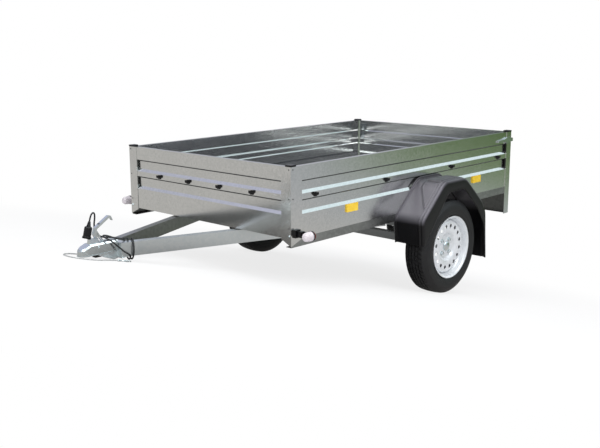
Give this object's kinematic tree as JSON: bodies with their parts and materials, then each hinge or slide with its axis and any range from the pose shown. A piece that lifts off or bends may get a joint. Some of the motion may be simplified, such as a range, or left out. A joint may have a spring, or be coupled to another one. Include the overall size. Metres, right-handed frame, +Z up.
{
  "type": "single-axle box trailer",
  "caption": "Unbraked single-axle utility trailer with an open ribbed steel box, a drop tailgate, a V drawbar and a ball coupling, parked nose down.",
  "frame": {"origin": "centre of the footprint on the floor that the parked trailer stands on", "axes": "+X to the front (the coupling), +Y to the left, +Z up; the trailer stands nose down by 13.11 degrees"},
  "size_m": [2.9603, 1.656, 1.0578],
  "materials": {
    "amber_lens": "amber reflex lens",
    "black_plastic": "moulded black polypropylene",
    "cable_rubber": "black rubber cable sheath",
    "clear_lens": "clear moulded lens",
    "coated_wire": "light grey plastic-coated wire rope",
    "galvanised_sheet": "hot-dip galvanised sheet, bright with a fine spangle",
    "galvanised_steel": "hot-dip galvanised sections, dull silver grey",
    "plywood": "dark brown film-faced plywood",
    "red_lens": "red moulded lens",
    "silver_enamel": "silver wheel enamel",
    "spring_steel": "black painted spring leaves",
    "tyre_rubber": "black tyre rubber",
    "zinc_plate": "bright blue-white zinc plating"
  },
  "bodies": {
    "chassis": {"axle_beam": "galvanised_steel", "coupling": "zinc_plate", "coupling_catch": "zinc_plate", "coupling_handle": "zinc_plate", "cross_members": "galvanised_steel", "drawbar_beam_left": "galvanised_steel", "drawbar_beam_right": "galvanised_steel", "floor": "plywood", "front_post_left": "galvanised_sheet", "front_post_right": "galvanised_sheet", "front_wall": "galvanised_sheet", "hinge_brackets": "zinc_plate", "lead_cable": "cable_rubber", "lead_gland": "black_plastic", "lead_plug": "black_plastic", "lead_winding": "cable_rubber", "leaf_spring_left": "spring_steel", "leaf_spring_right": "spring_steel", "light_board": "galvanised_sheet", "marker_lamps": "black_plastic", "marker_lenses": "clear_lens", "marker_rear_lenses": "red_lens", "mudguard_left": "black_plastic", "mudguard_right": "black_plastic", "nose_plate": "galvanised_steel", "post_caps": "black_plastic", "rear_post_left": "galvanised_sheet", "rear_post_right": "galvanised_sheet", "rear_reflectors": "red_lens", "safety_hook": "zinc_plate", "safety_wire": "coated_wire", "side_rail_left": "galvanised_steel", "side_rail_right": "galvanised_steel", "side_reflectors": "amber_lens", "side_wall_left": "galvanised_sheet", "side_wall_right": "galvanised_sheet", "spring_clamps": "galvanised_steel", "spring_hangers": "galvanised_steel", "tail_lamps": "red_lens", "tailgate_latches": "zinc_plate", "wall_hooks": "black_plastic", "wire_anchor": "black_plastic", "wire_sleeve": "black_plastic"},
    "wheel_left": {"hub_left": "zinc_plate", "rim_left": "silver_enamel", "tyre_left": "tyre_rubber"},
    "wheel_right": {"hub_right": "zinc_plate", "rim_right": "silver_enamel", "tyre_right": "tyre_rubber"},
    "tailgate": {"gate_brackets": "zinc_plate", "gate_hooks": "black_plastic", "hinge_knuckles": "zinc_plate", "tailgate": "galvanised_sheet"}
  },
  "joints": [
    {"name": "wheel_left_spin", "type": "hinge", "parent": "chassis", "child": "wheel_left", "pos_m": [-0.50654, 0.733, 0.274], "axis": [0, 1, 0], "continuous": true},
    {"name": "wheel_right_spin", "type": "hinge", "parent": "chassis", "child": "wheel_right", "pos_m": [-0.50654, -0.733, 0.274], "axis": [0, 1, 0], "continuous": true},
    {"name": "tailgate_hinge", "type": "hinge", "parent": "chassis", "child": "tailgate", "pos_m": [-1.37518, 0, 0.71043], "axis": [0, -1, 0], "range_deg": [0, 150]}
  ]
}
